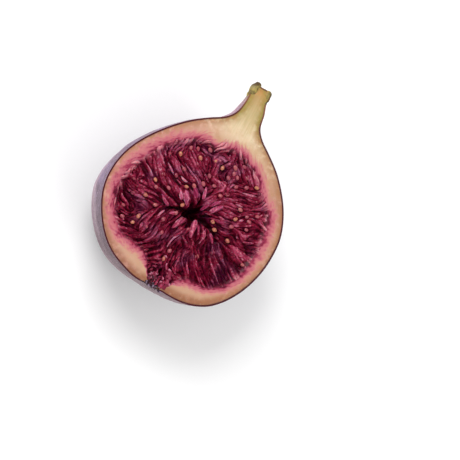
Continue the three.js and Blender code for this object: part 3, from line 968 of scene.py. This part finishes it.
def strewn(name, template, laid):
    """Copies of one piece, each with its own mesh, joined under one name; the piece itself goes."""
    nothing_selected()
    for places, tone, way in laid:
        copy = bpy.data.objects.new(name, template.data.copy())
        bpy.context.collection.objects.link(copy)
        put_corners(copy, places)
        stored(copy, "tone", np.zeros(len(places)) + tone)
        stored(copy, "way", way)
        copy.select_set(True)
        bpy.context.view_layer.objects.active = copy
    bpy.ops.object.join()
    joined = bpy.context.object
    joined.name = name
    bpy.data.objects.remove(template)
    return joined


floret = drawn_out(FLORET_RINGS, 6)
dice = random.Random(7)


RIM_DIP = 0.4  # how much lower a floret lies where it grows out of the flesh


def on_bed(lift, bend):
    """A level this far above the bed, lower by the bend at both ends."""

    def level(spots, way):
        rise = lift - RIM_DIP * (1 - ease(inside_rim(spots), 0.4, 2.6))
        return CUT - bed_drop(spots) + rise + bend * (np.sin(math.pi * way) - 1)

    return level


def pulp_shade(places):
    """Broad light and dark patches of the pulp, from -1 to 1."""
    return 1.6 * patches(places, 3.4, 11.0)


# The lower florets have grown into one another. Their sheet lies in rounded folds along the comb,
# with sharp creases between them and fine threads in each. It dips under the flesh at its rim,
# closes at the back, and makes a cup round each seed.
SHEET_SIZE = (43, 46)  # across and along, before it is trimmed to the rim
SHEET_MIDDLE = (0.0, -8.3)
SHEET_STEP = 0.2
SHEET_OVERLAP = 0.35  # how far it runs in under the flesh
SHEET_BACK = 0.6  # how far under its bed it closes
FOLD = 0.95  # how high a fold stands over its creases
THREAD = 0.16  # how high the fine threads stand
THREAD_REACH = 2.7  # how far the grains are drawn out each way
GRAINS_REACH = 60
GRAINS_START = (-30.0, -35.0)


class Grains:
    """Random numbers at the nodes of a square mesh, read off between them."""

    def __init__(self, step, seed):
        self.step = step
        self.nodes = np.random.default_rng(seed).standard_normal((int(GRAINS_REACH / step),) * 2)

    def at(self, places):
        spot = (places - GRAINS_START) / self.step
        low = spot.astype(int)
        u, v = (spot - low).T
        i, j = low.T
        return ((self.nodes[i, j] * (1 - u) + self.nodes[i + 1, j] * u) * (1 - v)
                + (self.nodes[i, j + 1] * (1 - u) + self.nodes[i + 1, j + 1] * u) * v)


def comb_at(places):
    """The way of the comb at the nodes nearest to these places."""
    column, row = np.rint((places - COMB_START) / COMB_STEP).astype(int).T
    return comb_turn[np.clip(column, 0, len(comb_x) - 1), np.clip(row, 0, len(comb_y) - 1)]


def combed(places, *fields):
    """Each field of grains drawn out into threads along the comb; about 0, spread 1."""
    totals = [field.at(places) for field in fields]
    for sense in (0, math.pi):
        spots = places.copy()
        turn = comb_at(spots) + sense
        for _ in range(int(THREAD_REACH / STRIDE)):
            ahead = comb_at(spots)
            turn = np.where(np.cos(ahead - turn) > 0, ahead, ahead + math.pi)
            spots += STRIDE * np.column_stack([np.cos(turn), np.sin(turn)])
            totals = [total + field.at(spots) for total, field in zip(totals, fields)]
    return [total / total.std() for total in totals]


nothing_selected()
columns, rows = (int(size / SHEET_STEP) for size in SHEET_SIZE)
bpy.ops.mesh.primitive_grid_add(x_subdivisions=columns, y_subdivisions=rows, size=2)
pulp = bpy.context.object
pulp.name = "pulp"
places = corners(pulp)[:, :2] * MM * np.divide(SHEET_SIZE, 2) + SHEET_MIDDLE
put_corners(pulp, np.column_stack([places, np.zeros(len(places))]))
bpy.ops.object.mode_set(mode="EDIT")
bpy.ops.mesh.select_mode(type="VERT")
bpy.ops.mesh.select_all(action="DESELECT")
bpy.ops.object.mode_set(mode="OBJECT")
pulp.data.vertices.foreach_set("select", inside_rim(places) < -SHEET_OVERLAP)
bpy.ops.object.mode_set(mode="EDIT")
bpy.ops.mesh.delete(type="VERT")
bpy.ops.object.mode_set(mode="OBJECT")
places = corners(pulp)[:, :2]
broad, slim, threads, tint = combed(
    places, Grains(0.95, 3), Grains(0.52, 6), Grains(0.24, 4), Grains(0.5, 5)
)
outer = ease(seen_from(HOLLOW, places)[1], 4, 13)
creased = broad * np.sqrt(1 - outer) + slim * np.sqrt(outer)
folds = np.clip(np.abs(creased) / 1.3, 0, 1) ** 0.7
inside = ease(inside_rim(places) + 0.9 * patches(places, 2.2, 9.0), -0.2, 1.6)
shade = pulp_shade(places)
lift = -0.32 + 0.62 * inside + 0.12 * shade * inside
height = lift + (FOLD * (folds - 0.35) + THREAD * threads) * (0.3 + 0.7 * inside)
cup = 1 - ease(distance_to(SEEDS, places), 0.5, 1.25)
height -= 0.15 * cup
drop = bed_drop(places)
put_corners(pulp, np.column_stack([places, np.minimum(CUT - drop + height, CUT + 0.1)]))
# The tone follows the relief: painted light on the crests of the folds and threads, painted shade
# in the creases and in the cup round each seed, with random patches on top.
tone = 0.46 * folds + 0.08 * threads + 0.11 * tint + 0.13 * shade - 0.12 * cup
tone += 0.05 * ease(places[:, 1], -8, 0) - 0.06 * ease(-places[:, 1], 2, 16)
stored(pulp, "tone", tone)
applied(pulp, "SOLIDIFY", thickness=SHEET_BACK * MM, offset=-1)
back = corners(pulp)
back[len(places) :] = np.column_stack([places, CUT - drop - SHEET_BACK])
put_corners(pulp, back)
bpy.ops.object.shade_smooth()

# The creases run out a little way into the flesh round the pulp.
rind = corners(flesh)[:, :2]
near_rim = np.abs(inside_rim(rind)) < 7
crease = np.zeros(len(rind))
(creased,) = combed(rind[near_rim], Grains(0.52, 6))
crease[near_rim] = 0.7 - np.clip(np.abs(creased) / 0.8, 0, 1)
stored(flesh, "crease", crease)

# The florets that show most lie right along the locks, half sunk in the sheet; finer ones between.
# A pair is a range that each copy draws its own size from.
LOCK_LIFT, LOCK_HEIGHT, LOCK_WIDTH = 0.55, 0.62, (0.5, 0.85)
FLORET_LIFT, FLORET_HEIGHT, FLORET_WIDTH = 0.42, 0.55, (0.4, 0.75)
FLORET_LENGTH = (4.0, 10.0)
BEND = (0.1, 0.3)
FLORET_GAP = 1.0
FLORET_TRIES = 5000
FEWEST_PLACES = 8  # a line with fewer of them is too short for a floret
laid = []
taken = Taken(1.2)
for x, y in GOLD_SEEDS:
    taken.add([(x + 0.3 * math.cos(turn), y + 0.3 * math.sin(turn)) for turn in range(6)])
for locks, tones in ((PALE_LOCKS, (0.70, 0.95)), (LOCKS, (0.38, 0.66))):
    for lock in locks:
        line = smooth_way(lock, np.linspace(0, 1, LINE_PLACES))
        level = on_bed(LOCK_LIFT, dice.uniform(*BEND))
        width = dice.uniform(*LOCK_WIDTH)
        laid.append(laid_along(floret, line, level, width, LOCK_HEIGHT, dice.uniform(*tones)))
        taken.add(line)
for _ in range(FLORET_TRIES):
    start = (dice.uniform(-22, 22), dice.uniform(-30.5, 14))
    if not comb_open[comb_node(start)] or taken.near(start, FLORET_GAP):
        continue
    line = comb_line(start, dice.uniform(*FLORET_LENGTH), taken, FLORET_GAP)
    if len(line) < FEWEST_PLACES:
        continue
    taken.add(line)
    if math.dist(line[0], HOLLOW) < math.dist(line[-1], HOLLOW):
        line = line[::-1]
    shade = pulp_shade([line[len(line) // 2]])[0]
    lift = FLORET_LIFT + 0.12 * shade + dice.uniform(-0.1, 0.1)
    level = on_bed(lift, dice.uniform(*BEND))
    tone = dice.uniform(0.22, 0.72) + 0.12 * shade
    width = dice.uniform(*FLORET_WIDTH)
    laid.append(laid_along(floret, line, level, width, FLORET_HEIGHT, tone))
florets = strewn("florets", floret, laid)


def gel(name, *stops, gloss=0.3, violet=0.5, rough=1.0):
    """The wet, half clear stuff of the pulp, in colours from its darkest tone to its palest."""
    material, shader = new_material(name, stops[0][1], gloss)
    n = Nodes(material)
    fleck = n.minus(n.cloudy(n.here, 1.1, 3.0, 0.6), 0.5)
    drop = n.minus(CUT, n.axis("Z"))
    value = n.plus(n.attribute("tone"), n.times(fleck, 0.55))
    # Deeper down, in the hollow and its cracks, the tone is painted darker: painted shade.
    value = n.minus(value, n.times(n.mask(drop, 0.5, 3.0), 0.35))
    colour = n.ramp(value, *stops)
    # Towards the eye they are a deeper red.
    towards_eye = n.mask(n.axis("Y"), -2.0, -16.0)
    deeper = n.ramp(value, (0.0, "#2a0009"), (0.3, "#500219"), (0.55, "#7c1230"), (0.8, "#a83a58"),
                    (1.0, "#cc7088"))
    colour = n.tint(colour, deeper, towards_eye, 0.7)
    # Some locks are purpler, and all of them pale to the pink of the flesh at the rim.
    purple = n.times(n.mask(n.cloudy(n.here, 0.2, 2.0), 0.48, 0.66), violet)
    colour = n.mix(purple, colour, n.mix(n.mask(value, 0.1, 0.9), "#3c0426", "#a2688a"))
    # Small pale spots on the crests: painted highlights, for wet glints.
    glints = n.times(n.mask(n.cloudy(n.here, 1.9, 2.0), 0.56, 0.66), n.mask(value, 0.3, 0.75))
    colour = n.tint(colour, "#d795a2", glints, 0.6)
    rim = n.plus(n.attribute("inward"), n.times(fleck, 2.4))
    rim_pink = n.mix(n.mask(value, 0.05, 0.6), "#7a2042", "#cf868e")
    colour = n.mix(n.mask(rim, 1.6, -0.2), colour, rim_pink)
    n.feed(colour, shader.inputs["Base Color"])
    set_on(shader, Subsurface_Weight=0.6, Subsurface_Radius=(1.0, 0.12, 0.16))
    set_on(shader, Subsurface_Scale=0.8 * MM)
    set_on(shader, Specular_IOR_Level=0.45, Specular_Tint=linear("#e0607c"))
    n.feed(n.relief(n.cloudy(n.here, 3.2, 2.0), 0.35, rough * 0.1), shader.inputs["Normal"])
    return material


pulp_gel = gel("pulp_gel", (0.0, "#2c000c"), (0.2, "#4e0319"), (0.42, "#74142e"), (0.62, "#943350"),
               (0.82, "#b66078"), (1.0, "#d492a2"))
# They stay dark up to the rim beside the eye and in its channel.
for coat in (pulp, florets):
    places = corners(coat)
    darker = 0.8 * beside_eye(places) + 1.5 * ease(-places[:, 1], 24, 27)
    stored(coat, "inward", inside_rim(places) + darker)
    coat.data.materials.clear()
    coat.data.materials.append(pulp_gel)
    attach(coat, "root")
    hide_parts("fig_half")

# ---------------- the seeds
# Each ripe floret holds one hard, rounded seed in a wet crimson cup. One seed is modelled: a small
# ball drawn to a blunt point; the copies lie in the gaps that the florets leave for them.
SEED_LENGTH = 1.45
SEED_WIDTH = 1.15
SEED_DEPTH = 0.85  # of its width
SEED_GAP = 1.9
MORE_SEEDS = 14
nothing_selected()
bpy.ops.mesh.primitive_uv_sphere_add(
    segments=10, ring_count=7, radius=0.5, rotation=(0, math.pi / 2, 0)
)
seed_ball = bpy.context.object
bpy.ops.object.transform_apply(location=True, rotation=True, scale=True)
shape = np.array([v.co for v in seed_ball.data.vertices])
shape[:, 1:] *= 1.0 - 0.35 * np.clip(shape[:, :1], 0, 1)
bpy.ops.object.shade_smooth()


def seed_at(place, tone, lift, size):
    """A seed at a place, lifted out of the bed, that lies roughly along the comb."""
    turn = comb_turn[comb_node(place)] + dice.uniform(-0.5, 0.5)
    cos, sin = math.cos(turn), math.sin(turn)
    long, wide = shape[:, 0] * SEED_LENGTH * size, shape[:, 1] * SEED_WIDTH * size
    level = CUT - bed_drop([place])[0] + lift
    places = np.column_stack([
        place[0] + long * cos - wide * sin,
        place[1] + long * sin + wide * cos,
        level + shape[:, 2] * SEED_WIDTH * SEED_DEPTH * size,
    ])
    return places, tone, shape[:, 0] + 0.5


laid = [
    seed_at(place, dice.uniform(0.75, 1.0), 0.75, dice.uniform(0.85, 1.0)) for place in GOLD_SEEDS
]
laid += [
    seed_at(place, dice.uniform(0.1, 0.5), dice.uniform(0.5, 0.75), dice.uniform(0.8, 1.05))
    for place in ROSY_SEEDS
]
taken = Taken(2.0)
taken.add(SEEDS)
while len(laid) < len(SEEDS) + MORE_SEEDS:
    place = (dice.uniform(-20, 20), dice.uniform(-18, 12))
    deep_in = inside_rim([place])[0] > 1.2
    if comb_open[comb_node(place)] and deep_in and not taken.near(place, SEED_GAP):
        taken.add([place])
        tone, lift = dice.uniform(0.0, 0.6), dice.uniform(0.35, 0.7)
        laid.append(seed_at(place, tone, lift, dice.uniform(0.7, 0.95)))
seeds = strewn("seeds", seed_ball, laid)
stored(seeds, "up", np.tile(shape[:, 2] + 0.5, len(laid)))

seed_shell, shader = new_material("seed_shell", "#cf8a55", 0.3)
n = Nodes(seed_shell)
body = n.ramp(n.attribute("tone"), (0.0, "#8a3046"), (0.4, "#b05c66"), (0.7, "#bd7460"),
              (1.0, "#c8875e"))
colour = n.mix(n.mask(n.cloudy(n.here, 2.0, 2.0), 0.42, 0.66), body, "#a8404e")
# Low down, a seed is painted a dark red: partly the juice of its cup, partly painted shade on its
# underside.
colour = n.mix(n.mask(n.attribute("up"), 0.62, 0.3), colour, "#5e0a1e")
n.feed(colour, shader.inputs["Base Color"])
set_on(shader, Subsurface_Weight=0.3, Subsurface_Radius=(1.0, 0.4, 0.2))
set_on(shader, Subsurface_Scale=0.4 * MM, Coat_Weight=0.4, Coat_Roughness=0.12)
n.feed(n.relief(n.cloudy(n.here, 5.0, 2.0), 0.2, 0.05), shader.inputs["Normal"])
seeds.data.materials.append(seed_shell)
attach(seeds, "root")
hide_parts("fig_half")

# ---------------- the tips round the hollow
# Where the florets end at the hollow nothing presses on them, and their loose, swollen tips hang
# over its edge, bright pink and ribbed. Each is a flattened drop on a short line: from, to, width.
LOOSE_TIPS = [
    ((-4.7, -4.1), (-1.7, -6.6), 2.0), ((-6.4, -4.6), (-4.3, -6.9), 1.1),
    ((2.7, -14.0), (1.8, -9.2), 1.5), ((-0.1, -0.5), (0.8, -3.7), 1.0),
    ((3.2, -3.2), (1.7, -6.4), 0.9), ((-10.8, -7.5), (-6.2, -9.1), 0.75),
    ((-9.8, -8.3), (-6.6, -10.0), 1.0), ((-8.2, -14.9), (-6.4, -11.2), 0.8),
    ((-5.6, -11.6), (-3.6, -10.4), 1.0), ((-3.0, -14.4), (-1.6, -10.4), 1.3),
    ((-1.6, -16.0), (0.8, -12.4), 0.9), ((6.0, -13.0), (5.1, -9.7), 0.9),
    ((8.8, -12.2), (6.9, -10.1), 0.9), ((-3.0, -2.2), (-0.9, -4.5), 1.5),
    ((6.6, -2.4), (4.2, -5.6), 1.3), ((9.2, -6.0), (6.1, -6.4), 0.8),
    ((5.4, -1.4), (3.6, -3.9), 1.0), ((-1.9, -12.6), (-0.7, -10.3), 1.0),
    ((-3.6, -5.6), (-1.9, -7.3), 1.1), ((4.2, -12.4), (3.0, -9.8), 0.8),
]
TIP_RINGS = (
    (0.00, 0.25), (0.12, 0.55), (0.28, 0.78), (0.45, 0.92), (0.62, 1.00), (0.78, 0.98),
    (0.90, 0.78), (0.97, 0.48), (1.00, 0.20),
)
tip = drawn_out(TIP_RINGS, 16)
# Four low ribs wind round a tip.
tip_shape = corners(tip) * MM
tip_ribs = np.sin(4 * np.arctan2(tip_shape[:, 2], tip_shape[:, 1]) + 5 * tip_shape[:, 0])
tip_shape[:, 1:] *= 1 + 0.1 * tip_ribs[:, None]
put_corners(tip, tip_shape / MM)


def over_the_edge(hang):
    """A level just under the cut face that droops towards the tip."""
    return lambda spots, way: CUT - 0.2 - 0.15 * (1 - way) - hang * way**2


laid = []
for start, end, width in LOOSE_TIPS:
    start, end = np.array(start), np.array(end)
    sway = np.array((start[1] - end[1], end[0] - start[0])) * dice.uniform(-0.08, 0.08)
    line = smooth_way([start, (start + end) / 2 + sway, end], np.linspace(0, 1, LINE_PLACES))
    level = over_the_edge(dice.uniform(0.3, 1.1))
    # A tip's tone follows its ribs: painted light on the crests and painted shade in the grooves.
    tone = dice.uniform(0.35, 0.75) + 0.18 * tip_ribs
    laid.append(laid_along(tip, line, level, width, 0.5 * width + 0.25, tone))
loose_tips = strewn("loose_tips", tip, laid)
rosy_gel = gel("rosy_gel", (0.0, "#4a0820"), (0.4, "#86244a"), (0.7, "#b04e70"), (1.0, "#d48aa2"),
               gloss=0.25, violet=0.0, rough=3.0)
stored(loose_tips, "inward", inside_rim(corners(loose_tips)))
loose_tips.data.materials.append(rosy_gel)
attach(loose_tips, "root")
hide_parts("fig_half")

# ---------------- the eye of the fig
# The way in at the blunt end is shut by small overlapping scales, crimson inside and nearly black
# outside, with grey-lilac patches that are partly bloom and partly painted glints. One scale is
# modelled, a thin curved leaf; the copies line the channel, each turned its own way.
EYE_SCALES = 64
SCALE_THICKNESS = 0.13
EYE_PIT = (-0.1, -25.6)
EYE_CHANNEL = [(-0.9, -26.6), (-1.4, -28.0), (-1.2, -29.2), (0.2, -30.1)]
EYE_PETALS = [
    (0.9, -23.6), (2.0, -25.0), (-1.0, -23.2), (2.9, -24.4), (-2.2, -25.0), (-3.0, -26.2),
    (2.6, -26.9), (3.6, -25.7), (-1.6, -27.2), (1.7, -28.4), (3.1, -28.2), (-0.8, -22.3),
    (0.9, -27.1), (4.2, -27.1),
]
EYE_LIP = [
    (-1.8, -30.2), (-1.0, -30.1), (-0.2, -30.3), (0.5, -29.9), (1.1, -30.2), (1.8, -29.9),
    (2.4, -30.0),
]
nothing_selected()
bpy.ops.mesh.primitive_grid_add(x_subdivisions=4, y_subdivisions=6, size=1)
scale_leaf = bpy.context.object
leaf = np.array([v.co for v in scale_leaf.data.vertices])
leaf[:, 0] *= np.sqrt(np.clip(1 - (2 * leaf[:, 1]) ** 4, 0.03, 1)) * (0.75 - 0.3 * leaf[:, 1])
leaf[:, 2] = -0.9 * leaf[:, 0] ** 2 + 0.35 * leaf[:, 1] ** 2
put_corners(scale_leaf, leaf)
applied(scale_leaf, "SOLIDIFY", thickness=SCALE_THICKNESS * MM)
bpy.ops.object.shade_smooth()
leaf = corners(scale_leaf)
laid = []


def scale_at(spot, tone, size, lift):
    """A scale at a place, turned its own way, dark or bright by its tone."""
    level = CUT - bed_drop([spot])[0] + lift
    turn = Matrix.Identity(3)
    for axis, most in (("Z", 1.3), ("X", 0.9), ("Y", 1.2)):
        turn = turn @ Matrix.Rotation(dice.uniform(-most, most), 3, axis)
    places = (leaf * (size * 0.8, size, size)) @ np.array(turn).T + (spot[0], spot[1], level)
    places[:, 2] -= max(places[:, 2].max() - CUT - 0.25, 0)
    places[:, 1] += max(EYE_END + 0.1 + 0.5 * (1 - tone) - places[:, 1].min(), 0)
    laid.append((places, tone, leaf[:, 1] + 0.5))


for place in EYE_PETALS:
    scale_at(place, dice.uniform(0.0, 0.25), dice.uniform(1.8, 2.6), dice.uniform(0.5, 0.9))
for place in EYE_LIP:
    scale_at(place, dice.uniform(0.9, 1.0), dice.uniform(1.3, 1.9), dice.uniform(-0.2, 0.3))
for k in range(EYE_SCALES):
    share = k / EYE_SCALES
    spot = smooth_way(EYE_CHANNEL, [share])[0]
    spread = 0.8 + 0.5 * share
    spot = spot + (dice.uniform(-spread, spread), dice.uniform(-0.8, 0.8))
    if inside_rim([spot])[0] > 0.0 and math.dist(spot, EYE_PIT) > 0.8:
        tone = float(np.clip(0.2 + 0.8 * share**2 + dice.uniform(-0.15, 0.15), 0, 1))
        scale_at(spot, tone, dice.uniform(1.3, 2.2), dice.uniform(0.3, 0.8))
eye_scales = strewn("eye_scales", scale_leaf, laid)

scale_skin, shader = new_material("scale_skin", "#5a1a2c", 0.4)
n = Nodes(scale_skin)
tone = n.attribute("tone")
body = n.ramp(tone, (0.0, "#a83c5c"), (0.2, "#7c1634"), (0.5, "#360514"), (1.0, "#2c101e"))
# Grey-lilac patches on the dark outer scales: partly their bloom, partly painted glints.
bloom_and_glints = n.times(n.mask(n.cloudy(n.here, 1.3, 3.0), 0.5, 0.62), n.mask(tone, 0.6, 0.95))
colour = n.tint(body, "#a890a8", bloom_and_glints, 0.8)
lip = n.times(n.mask(n.attribute("way"), 0.72, 0.95), n.mask(tone, 0.7, 0.3))
colour = n.tint(colour, "#e08aa6", lip, 0.7)
n.feed(colour, shader.inputs["Base Color"])
set_on(shader, Specular_IOR_Level=0.3)
n.feed(n.relief(n.cloudy(n.here, 3.0, 3.0), 0.3, 0.1), shader.inputs["Normal"])
eye_scales.data.materials.append(scale_skin)
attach(eye_scales, "root")
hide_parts("fig_half")

# ---------------- the end of the stalk
# Where the fruit was picked, the stalk ends in a rough, corky collar, swollen into a knob on each
# side of the scar and browned at its tips. It is a ring of lumps, run together and roughened.
KNOBS = [
    # middle, and reach along each axis
    ((-1.35, 28.3, 23.4), (1.15, 1.8, 1.05)),
    ((-0.85, 29.85, 23.3), (1.0, 0.9, 1.05)),
    ((-1.85, 26.7, 23.2), (0.5, 0.9, 0.75)),
    ((2.75, 29.15, 23.4), (1.05, 1.25, 1.1)),
    ((3.25, 28.1, 23.2), (0.7, 0.95, 0.95)),
    ((-1.0, 29.1, 22.0), (0.95, 1.3, 1.0)),
    ((-0.1, 29.1, 21.2), (0.95, 1.1, 0.8)),
    ((1.0, 29.2, 21.0), (1.0, 1.2, 0.75)),
    ((2.1, 29.0, 21.3), (0.95, 1.0, 0.8)),
    ((2.8, 28.9, 22.2), (0.9, 1.1, 0.95)),
]
STALK_MIDDLE = (1.0, 28.0, 23.0)
CORK_MESH = 0.16
CORK_ROUGHNESS = 0.1
knobs = []
nothing_selected()
for middle, reach in KNOBS:
    bpy.ops.mesh.primitive_uv_sphere_add(
        segments=20, ring_count=12, radius=MM, location=Vector(middle) * MM, scale=reach
    )
    knobs.append(bpy.context.object)
for knob in knobs:
    knob.select_set(True)
bpy.ops.object.join()
stalk_end = bpy.context.object
stalk_end.name = "stalk_end"
bpy.ops.object.transform_apply(location=True, rotation=True, scale=True)
applied(stalk_end, "REMESH", mode="VOXEL", voxel_size=CORK_MESH * MM)
applied(stalk_end, "SMOOTH", factor=0.6, iterations=6)
places = corners(stalk_end)
away = places - STALK_MIDDLE
rough = CORK_ROUGHNESS * lumps(places, 0.8, 0.35, 0.6)
places += away / np.linalg.norm(away, axis=1)[:, None] * rough[:, None]
put_corners(stalk_end, places)
bpy.ops.object.shade_smooth()

stalk_cork, shader = new_material("stalk_cork", "#8f8648", 0.6)
n = Nodes(stalk_cork)
across, along = n.axis("X"), n.axis("Y")
clouds = n.cloudy(n.here, 0.9, 4.0, 0.6)
colour = n.ramp(clouds, (0.3, "#66532f"), (0.44, "#887844"), (0.56, "#a99850"), (0.7, "#c0995a"))
# Greyer on its left, ochre on the scar between the knobs, brown at the tips.
greyer_left = n.times(n.mask(across, -0.9, -2.1), n.mask(along, 27.6, 28.6))
colour = n.tint(colour, "#8d8160", greyer_left, 0.6)
saddle = n.mask(n.maths("ABSOLUTE", n.minus(across, 1.1)), 1.5, 0.5)
colour = n.tint(colour, "#cb9a60", saddle, 0.75)
tips = n.mask(n.minus(along, n.times(across, 0.5)), 29.6, 30.6)
tips = n.maths("MAXIMUM", tips, n.mask(across, 2.8, 3.5))
colour = n.tint(colour, "#422810", tips, 0.85)
n.feed(colour, shader.inputs["Base Color"])
set_on(shader, Specular_IOR_Level=0.3)
n.feed(n.relief(n.cloudy(n.here, 2.5, 4.0, 0.65), 0.6, 0.2), shader.inputs["Normal"])
stalk_end.data.materials.append(stalk_cork)
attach(stalk_end, "root")
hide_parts("fig_half")
